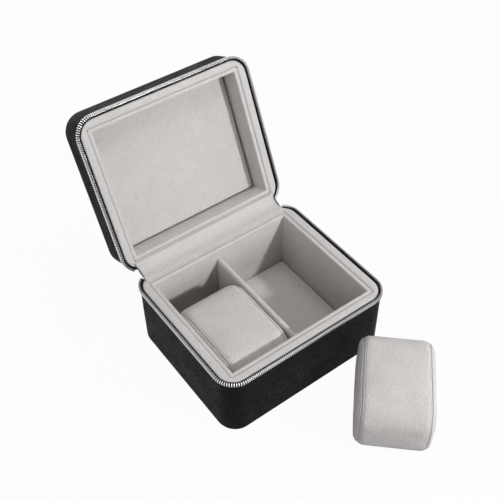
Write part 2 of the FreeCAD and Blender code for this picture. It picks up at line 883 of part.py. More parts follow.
# Shares of the half width of the band, with the inset there as a share of the crown
wrap_shares = [(0.38, 0.1), (0.75, 0.5), (0.94, 1.0)]
# Shares of a cap's depth, with the share of the cap's rounding that is reached there
cap_shares = [(0.2, 0.02), (0.6, 0.25), (0.88, 0.6), (1.0, 1.0)]
wrap_stations = [(seam_x * x, pillow_crown * inset) for x, inset in wrap_shares] + [(seam_x, seam_inset)]
cap_stations = [(seam_x, seam_inset)]
cap_stations += [(seam_x + cap_depth * x, pillow_crown + cap_edge * inset) for x, inset in cap_shares]
core_stations = [
    (seam_x, seam_inset + pillow_skin),
    (pillow_half - pillow_skin, cap_edge + pillow_skin),
]


def make_pillow(side, x, y, z, turn):
    """Four pieces: the core, and the band and two caps that lie round it."""
    core = padded_form(mirrored(core_stations) + core_stations)
    forms = [
        ("wrap", padded_form(mirrored(wrap_stations) + wrap_stations).cut(core)),
        ("cap_right", padded_form(cap_stations).cut(core)),
        ("cap_left", padded_form(mirrored(cap_stations)).cut(core)),
        ("core", core),
    ]
    for piece, shape in forms:
        feature = make_feature("%s_pillow_%s" % (side, piece), shape)
        feature.Placement = FreeCAD.Placement(
            FreeCAD.Vector(x.value, y.value, z.value), FreeCAD.Rotation(FreeCAD.Vector(0, 0, 1), turn.value)
        )
        for axis, place in (("x", x), ("y", y), ("z", z)):
            feature.setExpression("Placement.Base." + axis, place.text)
        feature.setExpression("Placement.Rotation.Angle", turn.text)


fabric_gap = size("fabric_gap")
left_x = (divider_x - cover_half - tray_in.x) * 0.5
left_y = size("pillow_length") * 0.5 + size("pillow_front_gap") - tray_in.y
left_z = floor_top + fabric_gap + size("pillow_height") * 0.5
make_pillow("left", left_x, left_y, left_z, zero)
make_pillow(
    "right", rim_x - size("right_pillow_inset"), -(rim_y + size("right_pillow_forward")),
    size("pillow_height") * 0.5, size("right_pillow_angle"),
)

# Checks and files
doc.recompute()
for obj in doc.Objects:
    if "Invalid" in obj.State or "Error" in obj.State:
        raise RuntimeError("%s is %s" % (obj.Label, obj.State))
os.makedirs("parts", exist_ok=True)
for obj in parts:
    if obj.Shape.isNull() or not obj.Shape.isValid():
        raise RuntimeError("%s has no valid shape" % obj.Label)
    obj.Shape.exportStep(os.path.join("parts", obj.Label + ".step"))
print("%d parts written" % len(parts))
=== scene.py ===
# %% [markdown]
# # A watch travel case
#
# The case stands open on a white table: a base and a lid joined by a soft hinge, a metal zip
# round both rims, pale velvet inside, black grained leather outside, and two watch pillows, one
# of them lifted out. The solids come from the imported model, in metres. They say where each piece
# is, and this lesson dresses them: it builds the soft and fine pieces with code and gives every
# surface a finish made from nodes.

# %% Load the frame
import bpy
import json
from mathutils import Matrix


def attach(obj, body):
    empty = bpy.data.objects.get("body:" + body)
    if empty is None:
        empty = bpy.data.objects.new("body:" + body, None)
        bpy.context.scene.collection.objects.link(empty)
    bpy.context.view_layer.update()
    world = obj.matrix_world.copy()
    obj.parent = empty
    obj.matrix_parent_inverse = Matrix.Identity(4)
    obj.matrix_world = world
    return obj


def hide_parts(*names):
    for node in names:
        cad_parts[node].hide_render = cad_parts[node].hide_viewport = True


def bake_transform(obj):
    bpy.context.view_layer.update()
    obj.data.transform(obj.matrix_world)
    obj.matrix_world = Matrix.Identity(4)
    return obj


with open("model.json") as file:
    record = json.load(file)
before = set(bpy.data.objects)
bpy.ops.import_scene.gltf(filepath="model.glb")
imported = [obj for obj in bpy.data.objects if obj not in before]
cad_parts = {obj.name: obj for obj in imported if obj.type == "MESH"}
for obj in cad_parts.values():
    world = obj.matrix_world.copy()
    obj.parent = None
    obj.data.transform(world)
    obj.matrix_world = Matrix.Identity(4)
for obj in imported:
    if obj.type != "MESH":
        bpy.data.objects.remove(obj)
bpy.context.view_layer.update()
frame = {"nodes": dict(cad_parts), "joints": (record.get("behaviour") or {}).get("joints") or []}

# %% [markdown]
# ## The tools of this lesson
#
# Blender's own modules make everything here. A length in millimetres is easier to read on a
# piece this small, so MM turns it into metres.

# %% Modules and units
import json
import math

import bpy
from mathutils import Matrix, Vector

MM = 0.001
scene = bpy.context.scene
scene.view_settings.view_transform = "Standard"

# %% [markdown]
# ## The camera
#
# The camera comes first, so that every later choice can be judged from it. Its angles were
# fitted to the straight edges of the case: it looks down at 46 degrees, from the front and well
# to the left. The lens is longer than a normal one, so the sides taper only a little.

# %% Camera
look_turn = math.radians(-35.65)
look_down = math.radians(46.22)
look_roll = math.radians(-1.05)
look_at = Vector((30.27, 55.16, 40.0)) * MM
look_distance = 722.5 * MM

view_back = Vector((
    math.sin(look_turn) * math.cos(look_down),
    -math.cos(look_turn) * math.cos(look_down),
    math.sin(look_down),
))
level_right = Vector((math.cos(look_turn), math.sin(look_turn), 0))
level_up = view_back.cross(level_right)
cam_right = level_right * math.cos(look_roll) + level_up * math.sin(look_roll)
cam_up = level_up * math.cos(look_roll) - level_right * math.sin(look_roll)

camera_data = bpy.data.cameras.new("camera")
camera_data.sensor_width = 36
camera_data.lens = 59.04
camera = bpy.data.objects.new("camera", camera_data)
camera.matrix_world = Matrix.Translation(look_at + view_back * look_distance) @ Matrix(
    (cam_right, cam_up, view_back)
).transposed().to_4x4()
scene.collection.objects.link(camera)
scene.camera = camera
print("camera at", [round(v, 3) for v in camera.matrix_world.translation])

# %% [markdown]
# ## Nodes for finishes
#
# The case's finishes are built on four shader node groups. A group takes a position on the surface
# and a few named values, and gives back a colour, a roughness and a height for the bump. Building
# a group once keeps all velvet alike, while each material still sets its own values. Painted
# pictures could do the same, but they blur from near by and need files. These helpers add nodes
# and links in one line each.

# %% Node helpers
def add_node(tree, kind, settings=None, **inputs):
    node = tree.nodes.new("ShaderNode" + kind)
    for name, value in (settings or {}).items():
        setattr(node, name, value)
    for name, value in inputs.items():
        feed(tree, node.inputs[name.replace("_", " ")], value)
    return node


def feed(tree, socket, value):
    """Links an output to a socket, or sets the socket's own value."""
    if isinstance(value, bpy.types.NodeSocket):
        tree.links.new(value, socket)
    else:
        socket.default_value = value


def feed_all(tree, node, *values):
    """Feeds a node's sockets in their order, and gives back its first output."""
    for socket, value in zip(node.inputs, values):
        feed(tree, socket, value)
    return node.outputs[0]


def maths(tree, operation, *values):
    return feed_all(tree, add_node(tree, "Math", {"operation": operation}), *values)


def vector_maths(tree, operation, *values):
    return feed_all(tree, add_node(tree, "VectorMath", {"operation": operation}), *values)


def three_times(tree, value):
    """One value as a vector or a grey."""
    return add_node(tree, "CombineXYZ", X=value, Y=value, Z=value).outputs[0]


def toned(tree, colour, tone):
    """A colour made lighter or darker by a tone, which is 1 where it stays as it is."""
    return vector_maths(tree, "MULTIPLY", colour, three_times(tree, tone))


def new_group(name, inputs):
    """A group that gives back a colour, a roughness and a height.

    An input of None is a position; the others are colours or numbers with these defaults.
    """
    tree = bpy.data.node_groups.new(name, "ShaderNodeTree")
    for socket, default in inputs.items():
        kind = "Vector" if default is None else "Color" if isinstance(default, tuple) else "Float"
        made = tree.interface.new_socket(socket, in_out="INPUT", socket_type="NodeSocket" + kind)
        if default is not None:
            made.default_value = default
    for socket, kind in (("Colour", "Color"), ("Roughness", "Float"), ("Height", "Float")):
        tree.interface.new_socket(socket, in_out="OUTPUT", socket_type="NodeSocket" + kind)
    given = tree.nodes.new("NodeGroupInput")
    result = tree.nodes.new("NodeGroupOutput")
    return tree, given.outputs, result.inputs


def noise_value(tree, vector, size, detail=2.0, rough=0.5, bend=0.0):
    """Noise whose lumps are about size metres across."""
    is_socket = isinstance(size, bpy.types.NodeSocket)
    scale = maths(tree, "DIVIDE", 1.0, size) if is_socket else 1.0 / size
    return add_node(
        tree, "TexNoise",
        Vector=vector, Scale=scale, Detail=detail, Roughness=rough, Distortion=bend,
    ).outputs["Fac"]


# %% [markdown]
# ### Velvet pile
#
# Velvet is a forest of short fibres. Seen from a hand's distance it shows a fine speckle, soft
# clouds where the pile was brushed one way or the other, and faint streaks along the nap. Real
# fibres could be grown as hair, but a whole lining of them would be very slow. So the group mixes
# three kinds of noise into the colour, and the two fine ones into the bump.

# %% Group: velvet pile
tree, given, result = new_group("velvet_pile", {
    "Position": None, "Nap Position": None, "Colour": (0.584, 0.561, 0.553, 1),
    "Fibre Size": 0.001, "Cloud Size": 0.012, "Speckle": 0.16, "Clouding": 0.1, "Streaks": 0.05,
})
speck = noise_value(tree, given["Position"], given["Fibre Size"], 3.0, 0.65)
cloud = noise_value(tree, given["Position"], given["Cloud Size"], 4.0, 0.55, 0.8)
streak = noise_value(tree, given["Nap Position"], given["Fibre Size"], 2.0, 0.6)
tone = 1.0
for layer, amount in ((speck, "Speckle"), (cloud, "Clouding"), (streak, "Streaks")):
    offset = maths(tree, "SUBTRACT", layer, 0.5)
    change = maths(tree, "MULTIPLY", offset, maths(tree, "MULTIPLY", given[amount], 2.0))
    tone = maths(tree, "ADD", tone, change)
feed(tree, result["Colour"], toned(tree, given["Colour"], tone))
feed(tree, result["Roughness"], maths(tree, "MULTIPLY_ADD", speck, 0.2, 0.75))
nap_rise = maths(tree, "MULTIPLY", maths(tree, "MULTIPLY", streak, given["Streaks"]), 3.0)
feed(tree, result["Height"], maths(tree, "MULTIPLY_ADD", speck, 0.7, nap_rise))
pile_tree = tree
print("group:", tree.name)

# %% [markdown]
# ### Leather grain
#
# The outside is split leather with a pressed grain: small rounded cells with creases between
# them. A Voronoi texture gives cells, and a little noise bends its straight borders. The distance
# to the border is the height. The creases are a touch rougher and darker, and that darkening is
# painted shade. Handling makes wide soft patches lighter and duller, and a few specks of dust lie
# on top. Cells modelled one by one would look no better at this size.

# %% Group: leather grain
tree, given, result = new_group("leather_grain", {
    "Position": None, "Colour": (0.0085, 0.0085, 0.0089, 1), "Cell Size": 0.0015,
    "Crease": 0.7, "Handling": 1.0, "Roughness": 0.42, "Dust": 0.05,
})
bend = add_node(tree, "TexNoise", Vector=given["Position"], Scale=900.0, Detail=2.0)
waves = (0.0005, 0.0005, 0.0005)
bent = vector_maths(tree, "MULTIPLY_ADD", bend.outputs["Color"], waves, given["Position"])
cells = add_node(
    tree, "TexVoronoi", {"feature": "DISTANCE_TO_EDGE"},
    Vector=bent, Scale=maths(tree, "DIVIDE", 1.0, given["Cell Size"]),
)
crease = add_node(
    tree, "MapRange", {"interpolation_type": "SMOOTHSTEP"},
    Value=cells.outputs["Distance"], From_Min=0.0, From_Max=0.32, To_Min=0.0, To_Max=1.0,
).outputs["Result"]
patch = noise_value(tree, given["Position"], 0.018, 4.0, 0.6, 0.5)
rub = maths(tree, "MULTIPLY", maths(tree, "SUBTRACT", patch, 0.5), given["Handling"])
# Painted shade: the colour is darkened in the creases between the cells.
crease_shade = maths(tree, "MULTIPLY", maths(tree, "SUBTRACT", crease, 1.0), given["Crease"])
tone = maths(tree, "ADD", maths(tree, "ADD", 1.0, crease_shade), rub)
fleck = add_node(
    tree, "MapRange", Value=noise_value(tree, given["Position"], 0.0014),
    From_Min=0.67, From_Max=0.72, To_Min=0.0, To_Max=given["Dust"],
).outputs["Result"]
clean = toned(tree, given["Colour"], tone)
feed(tree, result["Colour"], vector_maths(tree, "ADD", clean, three_times(tree, fleck)))
rough = maths(tree, "SUBTRACT", given["Roughness"], maths(tree, "MULTIPLY", crease_shade, 0.25))
rubbed = maths(tree, "ADD", rough, maths(tree, "MULTIPLY", rub, 0.4))
feed(tree, result["Roughness"], rubbed)
feed(tree, result["Height"], crease)
grain_tree = tree
print("group:", tree.name)

# %% [markdown]
# ### Woven tape and metal wear
#
# The zip tape is a tight weave of black thread. Two crossed waves over the piece's own UV map, in
# metres along and across the tape, are enough at this size. The metal of the zip has small
# rubbed spots, which change its roughness and, a little, its colour and its relief.

# %% Groups: tape weave and metal wear
tree, given, result = new_group("tape_weave", {
    "Position": None, "Colour": (0.006, 0.006, 0.0065, 1), "Thread Size": 0.0004,
})
frequency = maths(tree, "DIVIDE", math.pi, given["Thread Size"])
parts = add_node(tree, "SeparateXYZ", Vector=given["Position"])
over = maths(tree, "SINE", maths(tree, "MULTIPLY", parts.outputs[0], frequency))
under = maths(tree, "SINE", maths(tree, "MULTIPLY", parts.outputs[1], frequency))
thread = maths(tree, "MULTIPLY_ADD", maths(tree, "MULTIPLY", over, under), 0.5, 0.5)
fuzz = noise_value(tree, given["Position"], 0.0006, 3.0)
tone = maths(tree, "MULTIPLY_ADD", thread, 0.7, maths(tree, "MULTIPLY", fuzz, 0.6))
feed(tree, result["Colour"], toned(tree, given["Colour"], tone))
feed(tree, result["Roughness"], maths(tree, "MULTIPLY_ADD", fuzz, 0.2, 0.7))
feed(tree, result["Height"], thread)
weave_tree = tree

tree, given, result = new_group("metal_wear", {
    "Position": None, "Colour": (0.64, 0.64, 0.645, 1), "Roughness": 0.3, "Spots": 0.3,
})
spots = noise_value(tree, given["Position"], 0.0012, 4.0, 0.7)
amount = maths(tree, "MULTIPLY", maths(tree, "SUBTRACT", spots, 0.5), given["Spots"])
tone = maths(tree, "ADD", 1.0, maths(tree, "MULTIPLY", amount, 0.5))
feed(tree, result["Colour"], toned(tree, given["Colour"], tone))
feed(tree, result["Roughness"], maths(tree, "ADD", given["Roughness"], amount))
feed(tree, result["Height"], spots)
wear_tree = tree
print("groups:", weave_tree.name, wear_tree.name)

# %% [markdown]
# ### From a group to a material
#
# A material joins one group to the Principled shader. The shader's own sockets hold the values
# that are the same all over, such as the velvet's sheen. Pieces made here carry a UV map in
# metres, which lets the nap and the weave run along the piece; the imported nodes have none, so
# they use their position. A bump has a strength and a height in metres. A group's inputs have
# defaults, and a material names only the values that differ from them.

# %% Material helper
def make_material(name, tree, values, bump, bump_height, shader, coordinates="Object", nap=None):
    """A material from a group; nap stretches the coordinates of the streaks."""
    material = bpy.data.materials.new(name)
    material.use_nodes = True
    nodes = material.node_tree
    principled = nodes.nodes["Principled BSDF"]
    for socket, value in shader.items():
        principled.inputs[socket].default_value = value
    where = add_node(nodes, "TexCoord").outputs[coordinates]
    group = nodes.nodes.new("ShaderNodeGroup")
    group.node_tree = tree
    for socket, value in values.items():
        group.inputs[socket].default_value = value
    nodes.links.new(where, group.inputs["Position"])
    if nap is not None:
        feed(nodes, group.inputs["Nap Position"], vector_maths(nodes, "MULTIPLY", where, nap))
    nodes.links.new(group.outputs["Colour"], principled.inputs["Base Color"])
    nodes.links.new(group.outputs["Roughness"], principled.inputs["Roughness"])
    rise = group.outputs["Height"]
    relief = add_node(nodes, "Bump", Strength=bump, Distance=bump_height, Height=rise)
    nodes.links.new(relief.outputs["Normal"], principled.inputs["Normal"])
    return material


# %% [markdown]
# ### The finishes of this case
#
# The velvet is a warm light grey. Sheen lifts it where it turns away from the eye, as real pile
# does. On the pillows the nap runs round the pillow, so their streaks are stretched along the UV
# map's first direction; on the other velvet they run up and down.

# %% Materials
velvet_shader = {"Sheen Weight": 0.25, "Sheen Roughness": 0.45, "Specular IOR Level": 0.2}
velvet = make_material(
    "velvet", pile_tree, {"Clouding": 0.08, "Speckle": 0.3},
    0.8, 0.0006, velvet_shader, "Object", (1.0, 1.0, 0.12),
)
pillow_velvet = make_material(
    "pillow_velvet", pile_tree, {"Fibre Size": 0.0011, "Streaks": 0.08, "Speckle": 0.36},
    1.0, 0.0009, velvet_shader, "UV", (0.25, 1.0, 1.0),
)
leather = make_material(
    "grained_leather", grain_tree, {}, 0.9, 0.0005, {"Specular IOR Level": 0.035}
)
tape_shader = {"Specular IOR Level": 0.08}
tape_cloth = make_material("zip_tape", weave_tree, {}, 0.6, 0.0002, tape_shader, "UV")
tail_cloth = make_material("zip_tail_tape", weave_tree, {}, 0.6, 0.0002, tape_shader)
thread_cloth = make_material(
    "stitch_thread", weave_tree, {"Colour": (0.012, 0.012, 0.013, 1), "Thread Size": 0.00025},
    0.5, 0.0001, {"Specular IOR Level": 0.1},
)
metal_shader = {"Metallic": 1.0}
zip_metal = make_material("zip_metal", wear_tree, {}, 0.15, 0.00005, metal_shader)
# A dark metal for the teeth's flanks: painted shade where the teeth face each other.
flank_shade_metal = make_material(
    "flank_shade_metal", wear_tree, {"Colour": (0.09, 0.09, 0.095, 1), "Roughness": 0.5},
    0.15, 0.00005, metal_shader,
)
stuffing_shader = {"Specular IOR Level": 0.2}
grey_board = make_material(
    "grey_board", pile_tree, {"Colour": (0.32, 0.3, 0.28, 1)},
    0.3, 0.0002, stuffing_shader, "Object", (1.0, 0.3, 1.0),
)
sheet_foam = make_material(
    "sheet_foam", pile_tree,
    {"Colour": (0.7, 0.69, 0.64, 1), "Fibre Size": 0.0008, "Speckle": 0.3},
    0.8, 0.0004, stuffing_shader, "Object", (1.0, 1.0, 1.0),
)
print("materials:", len(bpy.data.materials))

# %% [markdown]
# ## Bands round a rounded box
#
# The base, the lid, their padded rims and the trays all run round a rounded rectangle. So one
# helper walks round it with a fixed number of steps, and a second one skins a list of such loops.
# Because every loop has the same steps, the skin has straight, even quads, which bump and
# subdivision like best. A profile is a list of pairs: how far in, and at what height.

# %% Helpers for loops and skins
SIDE_STEPS = 20
CORNER_STEPS = 10


def rounded_loop(half_x, half_y, corner, level, side_steps=SIDE_STEPS, corner_steps=CORNER_STEPS):
    """Points round a rounded rectangle in millimetres, from the front right, anticlockwise."""
    points = []
    for turn, sign_x, sign_y in ((-90, 1, -1), (0, 1, 1), (90, -1, 1), (180, -1, -1)):
        centre = Vector((sign_x * (half_x - corner), sign_y * (half_y - corner), level))
        arc = []
        for k in range(corner_steps + 1):
            angle = math.radians(turn + 90 * k / corner_steps)
            arc.append(centre + Vector((math.cos(angle), math.sin(angle), 0)) * corner)
        if points:
            last = points[-1]
            points += [last.lerp(arc[0], k / side_steps) for k in range(1, side_steps)]
        points += arc
    last, first = points[-1], points[0]
    points += [last.lerp(first, k / side_steps) for k in range(1, side_steps)]
    return points


def mesh_object(name, points, faces, material, uvs=None, place=None, smooth=True):
    """An object from points in millimetres, laid in metres, with one material."""
    mesh = bpy.data.meshes.new(name)
    mesh.from_pydata([tuple(p * MM) for p in points], [], faces)
    if uvs is not None:
        layer = mesh.uv_layers.new(name="lengths")
        for loop in mesh.loops:
            layer.data[loop.index].uv = uvs[loop.index]
    mesh.materials.append(material)
    if place is not None:
        mesh.transform(place)
    mesh.update()
    if smooth:
        mesh.shade_smooth()
    made = bpy.data.objects.new(name, mesh)
    scene.collection.objects.link(made)
    return made


def tell(piece):
    print(piece.name, len(piece.data.polygons), "faces")


def tube_faces(first, rings, count):
    """Faces of a closed tube, made of rings of count points that start at the point first."""
    faces = []
    for ring in range(rings - 1):
        for k in range(count):
            a = first + ring * count + k
            b = first + ring * count + (k + 1) % count
            faces.append([a, b, b + count, a + count])
    faces.append([first + k for k in reversed(range(count))])
    faces.append([first + (rings - 1) * count + k for k in range(count)])
    return faces


def loop_length(loop):
    return sum((loop[j] - loop[j - 1]).length for j in range(1, len(loop)))


def skin(name, loops, material, place=None, ring_closed=True, tube=False, caps=(), flip=False):
    """A skin over loops of equal length; tube joins the last loop to the first.

    Where the loops are open, as along a zip, a tube's two ends are closed by a face each. The
    UV map measures along the widest loop and across the loops. flip turns the faces over.
    """
    count = len(loops[0])
    points = [p for loop in loops for p in loop]
    widest = max(loops, key=loop_length)
    along = [0.0]
    for j in range(count):
        along.append(along[-1] + (widest[(j + 1) % count] - widest[j]).length * MM)
    across = [0.0]
    for i in range(len(loops)):
        across.append(across[-1] + (loops[(i + 1) % len(loops)][0] - loops[i][0]).length * MM)
    faces = []
    uvs = []
    for i in range(len(loops) if tube else len(loops) - 1):
        nxt = (i + 1) % len(loops)
        for j in range(count if ring_closed else count - 1):
            k = (j + 1) % count
            corners = [(i, j, 0, 0), (i, k, 0, 1), (nxt, k, 1, 1), (nxt, j, 1, 0)]
            if flip:
                corners.reverse()
            faces.append([row * count + col for row, col, _, _ in corners])
            uvs += [(along[j + far], across[i + up]) for _, _, up, far in corners]
    for cap in caps:
        ring = [cap * count + j for j in range(count)]
        if (cap == 0) != flip:
            ring.reverse()
        faces.append(ring)
        uvs += [(points[v].x * MM, points[v].y * MM) for v in ring]
    if tube and not ring_closed:
        for col in (0, count - 1):
            end = [i * count + col for i in range(len(loops))]
            if (col == 0) == flip:
                end.reverse()
            faces.append(end)
            uvs += [(points[v].x * MM, points[v].z * MM) for v in end]
    return mesh_object(name, points, faces, material, uvs, place)


def lathe_profile(profile, outline):
    """Loops of a profile: each is the outline drawn in by the inset."""
    half_x, half_y, corner = outline
    return [
        rounded_loop(half_x - inset, half_y - inset, max(corner - inset, 0.3), level)
        for inset, level in profile
    ]


def band_loops(profile, outer, inner, width, corner_steps=CORNER_STEPS):
    """Loops of a profile between two outlines: an inset of width reaches the inner one."""
    loops = []
    for inset, level in profile:
        out_loop = rounded_loop(*outer, level, corner_steps=corner_steps)
        in_loop = rounded_loop(*inner, level, corner_steps=corner_steps)
        loops.append([a.lerp(b, inset / width) for a, b in zip(out_loop, in_loop)])
    return loops


def arc_pairs(centre, radius, start, end, steps):
    """A profile on an arc; an angle of 0 points inwards and 90 points up."""
    pairs = []
    for k in range(steps + 1):
        angle = math.radians(start + (end - start) * k / steps)
        pairs.append((centre[0] + radius * math.cos(angle), centre[1] + radius * math.sin(angle)))
    return pairs


# %% [markdown]
# ## Where the lid is
#
# The lid's pieces are easiest to draw in the closed position, level with the base. One matrix
# then opens them as far as the hinge goes. The hinge's place and its angle are read from the
# packed joint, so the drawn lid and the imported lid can't drift apart.

# %% Open the lid
hinge = next(joint for joint in frame["joints"] if joint["name"] == "lid_hinge")
hinge_at = Vector(hinge["pos_m"])
open_turn = -hinge["range_deg"][1]
opened = (
    Matrix.Translation(hinge_at)
    @ Matrix.Rotation(math.radians(open_turn), 4, "X")
    @ Matrix.Translation(-hinge_at)
)
print("hinge at", hinge_at, "opened by", -open_turn, "degrees")

# %% [markdown]
# ## Leather over the base
#
# The leather is glued over the board and rolled in at both edges, so its corners are soft and
# its long sides bow out by a fraction of a millimetre. It is a skin over a profile that starts
# under the zip tape, rolls over, runs down the side and turns in under the bottom. A box with
# bevelled edges would be quicker, but its sides would be dead flat and its edges all alike.

# %% Base leather
LEATHER = (79.7, 67.7, 16.7)
leather_profile = [(1.6, 59.2), (1.1, 60.0)]
leather_profile += arc_pairs((0.75, 59.35), 0.85, 70, 180, 5)
leather_profile += [(0.0, 56.5), (0.18, 52.0), (0.12, 40.0), (0.0, 28.0), (0.05, 14.0), (0.0, 5.0)]
leather_profile += arc_pairs((3.0, 3.1), 3.0, 180, 262, 6)
base_cover = skin("base_leather_cover", lathe_profile(leather_profile, LEATHER), leather, flip=True)
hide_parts("base_leather")
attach(base_cover, "base")
tell(base_cover)

# %% [markdown]
# ## Leather over the lid
#
# The lid's cover is one piece: the same leather goes up the side, over a rounded edge and across
# a padded top. The top is skinned too, with loops that shrink towards the middle and rise a
# little, which gives the padded crown. A separate flat top would show a seam that isn't there.

# %% Lid leather
LID_TOP = 93.98
LID_CROWN = 0.4
lid_profile = [(1.6, 67.3), (1.1, 66.5)]
lid_profile += arc_pairs((0.75, 67.15), 0.85, -70, -180, 5)
lid_profile += [(0.0, 70.5), (0.15, 76.0), (0.05, 83.0), (0.05, 89.0)]
lid_profile += arc_pairs((4.2, 89.9), 4.1, 180, 96, 8)
lid_loops = lathe_profile(lid_profile, LEATHER)
edge = lid_loops[-1]
for share in (0.88, 0.74, 0.58, 0.42, 0.26, 0.12):
    level = LID_TOP + LID_CROWN * (1 - share ** 3)
    lid_loops.append([Vector((p.x * share, p.y * share, level)) for p in edge])
lid_cover = skin("lid_leather_cover", lid_loops, leather, opened, caps=(len(lid_loops) - 1,))
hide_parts("lid_leather", "lid_top_leather", "lid_top_padding")
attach(lid_cover, "lid")
tell(lid_cover)

# %% [markdown]
# ## Padded velvet rims
#
# Between the zip and the tray lies a rim of velvet over foam. It rises in a low swell and dips
# where it meets the tray in a narrow groove. The corners outside are wide and those inside are
# tight, so one outline drawn in wouldn't fit both. The rim runs between two outlines instead. The
# same profile serves the base and, turned over, the lid.

# %% Rim cushions
RIM_OUTER = (77.5, 65.5, 14.5)
RIM_INNER = (70.9, 58.9, 2.5)
RIM_WIDTH = 6.6
RIM_SWELL = ((0.15, -1.75), (0.0, -1.3), (0.05, -0.75), (0.35, -0.3), (0.95, -0.06), (1.65, 0.0))
RIM_DIP = (
    (4.8, 0.0), (5.7, -0.06), (6.35, -0.24), (6.85, -0.55), (7.15, -0.9), (7.32, -1.2),
    (7.2, -1.75),
)


def rim_loops(top, sign, foot):
    """The rim from its outer foot over the swell to the groove; sign is -1 where it faces down."""
    shape = [(foot + inset, rise) for inset, rise in RIM_SWELL] + list(RIM_DIP)
    profile = [(inset, top + sign * rise) for inset, rise in shape]
    return band_loops(profile, RIM_OUTER, RIM_INNER, RIM_WIDTH)


for name, top, sign, foot, place, body, node in (
    ("base_rim_cushion", 62.2, 1, 0.1, None, "base", "base_rim_velvet"),
    ("lid_rim_cushion", 64.3, -1, 0.5, opened, "lid", "lid_rim_velvet"),
):
    rim = skin(name, rim_loops(top, sign, foot), velvet, place, tube=True, flip=(sign < 0))
    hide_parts(node)
    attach(rim, body)
    tell(rim)

# %% [markdown]
# ## Lined trays
#
# Each half has a velvet lined tray whose thin top edge shows inside the groove. The lining is
# folded over that edge, so the edge is round, and it is creased where walls meet each other and
# the floor. The inner corners are nearly square. Four thin boxes would show joints at the corners,
# so the four walls are one closed band, made like the rims.

# %% Tray linings
TRAY_OUTER = (70.1, 58.1, 1.7)
TRAY_INNER = (66.6, 54.6, 1.0)
TRAY_WALL = 3.5
TRAY_FOLD = (
    (0.0, 1.0), (0.06, 0.4), (0.35, 0.08), (1.4, 0.0), (2.2, 0.0), (2.8, 0.1), (3.3, 0.5),
    (TRAY_WALL, 1.4), (TRAY_WALL, 12.0),
)


def tray_loops(top, floor, sign):
    """The four walls with the fold over their edge; its pairs say how far in and how far down."""
    fold = [(inset, top - sign * drop) for inset, drop in TRAY_FOLD]
    profile = [(0.0, floor)] + fold + [(TRAY_WALL, floor)]
    return band_loops(profile, TRAY_OUTER, TRAY_INNER, TRAY_WALL, 5)


for name, top, floor, sign, place, body, node in (
    ("base_tray_lining", 61.3, 3.0, 1, None, "base", "base_tray"),
    ("lid_tray_lining", 65.2, 89.6, -1, opened, "lid", "lid_tray"),
):
    tray = skin(name, tray_loops(top, floor, sign), velvet, place, tube=True, flip=(sign < 0))
    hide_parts(node)
    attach(tray, body)
    tell(tray)

# %% [markdown]
# ## Floor pads and the lid's panel
#
# Velvet over thin foam covers the floor and fills the lid. Such a pad is a closed form with a
# crowned face and a rounded edge. A bevelled box would have the edge but no crown. So the pad is
# skinned from loops that run from the underside, round the edge, and up over the face in
# shrinking steps.

# %% Pad helper
def pad_loops(left, right, half_y, corner, foot, top, edge, crown):
    """Loops of a pad that stands on foot and faces top; edge is the radius of its rounded edge."""
    centre = Vector(((left + right) / 2, 0, 0))
    half_x = (right - left) / 2
    up = 1 if top > foot else -1
    loops = []
    profile = [(0.3, foot), (0.0, foot + up * min(0.2, abs(top - foot) / 4))]
    face = top - up * crown
    for angle in map(math.radians, (10, 30, 50, 70, 90)):
        level = face - up * edge * (1 - math.sin(angle))
        profile.append((edge * (1 - math.cos(angle)), level))
    for inset, level in profile:
        rounding = max(corner - inset, 0.4)
        loops.append(rounded_loop(half_x - inset, half_y - inset, rounding, level, 12, 6))
    rim = loops[-1]
    for share in (0.96, 0.9, 0.8, 0.66, 0.5, 0.34, 0.18):
        rise = crown * (1 - share ** 4)
        loops.append([Vector((p.x * share, p.y * share, face + up * rise)) for p in rim])
    return [[p + centre for p in loop] for loop in loops]


def make_pad(name, loops, place, body, flip=False):
    pad = skin(name, loops, velvet, place, caps=(0, len(loops) - 1), flip=flip)
    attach(pad, body)
    tell(pad)
    return pad


# %% Floor pads and lid panel
FLOOR = {"half_y": 54.4, "corner": 1.2, "foot": 3.05, "top": 4.0, "edge": 0.5, "crown": 0.15}
PANEL = {"half_y": 54.0, "corner": 2.5, "foot": 89.5, "top": 84.9, "edge": 1.6, "crown": 0.5}
make_pad("left_floor_pad", pad_loops(-66.4, -5.2, **FLOOR), None, "base")
right_floor = make_pad("right_floor_pad", pad_loops(0.2, 66.4, **FLOOR), None, "base")
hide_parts("base_floor_pad")
panel_loops = pad_loops(-66.0, 66.0, **PANEL)
panel = make_pad("lid_padded_panel", panel_loops, opened, "lid", True)
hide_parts("lid_panel")

# %% [markdown]
# ## The divider
#
# A board covered with velvet parts the tray. The velvet is folded over its top, so the top is a
# half round. One section, repeated along the board and skinned, gives the top and both sides in
# one piece. Rows lie closer near its ends, where the cloth meets the tray.

# %% Divider
DIVIDER_HALF_Y = 54.5
DIVIDER_SECTION = (
    (0.0, 4.05), (0.05, 20.0), (0.0, 40.0), (0.0, 47.6), (-0.15, 48.9), (-0.75, 50.2), (-1.6, 50.8),
    (-2.5, 51.0), (-3.4, 50.8), (-4.25, 50.2), (-4.85, 48.9), (-5.0, 47.6), (-5.0, 40.0),
    (-5.05, 20.0), (-5.0, 4.05),
)
divider_rings = [
    [Vector((x, DIVIDER_HALF_Y * share, z)) for x, z in DIVIDER_SECTION]
    for share in (-1, -0.97, -0.8, -0.5, -0.2, 0.1, 0.4, 0.7, 0.9, 0.97, 1)
]
divider = skin("divider_cover", divider_rings, velvet, caps=(0, len(divider_rings) - 1), flip=True)
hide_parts("divider_velvet")
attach(divider, "base")
tell(divider)

# %% [markdown]
# ## The zip's path
#
# The zip runs from one back corner round the front to the other. A small walker gives the point
# and the outward direction at any distance along it. It walks only the left half; the right half
# is its mirror image. The tape, the teeth and the thread all ask the same walker, so a tooth
# always sits square on the tape.

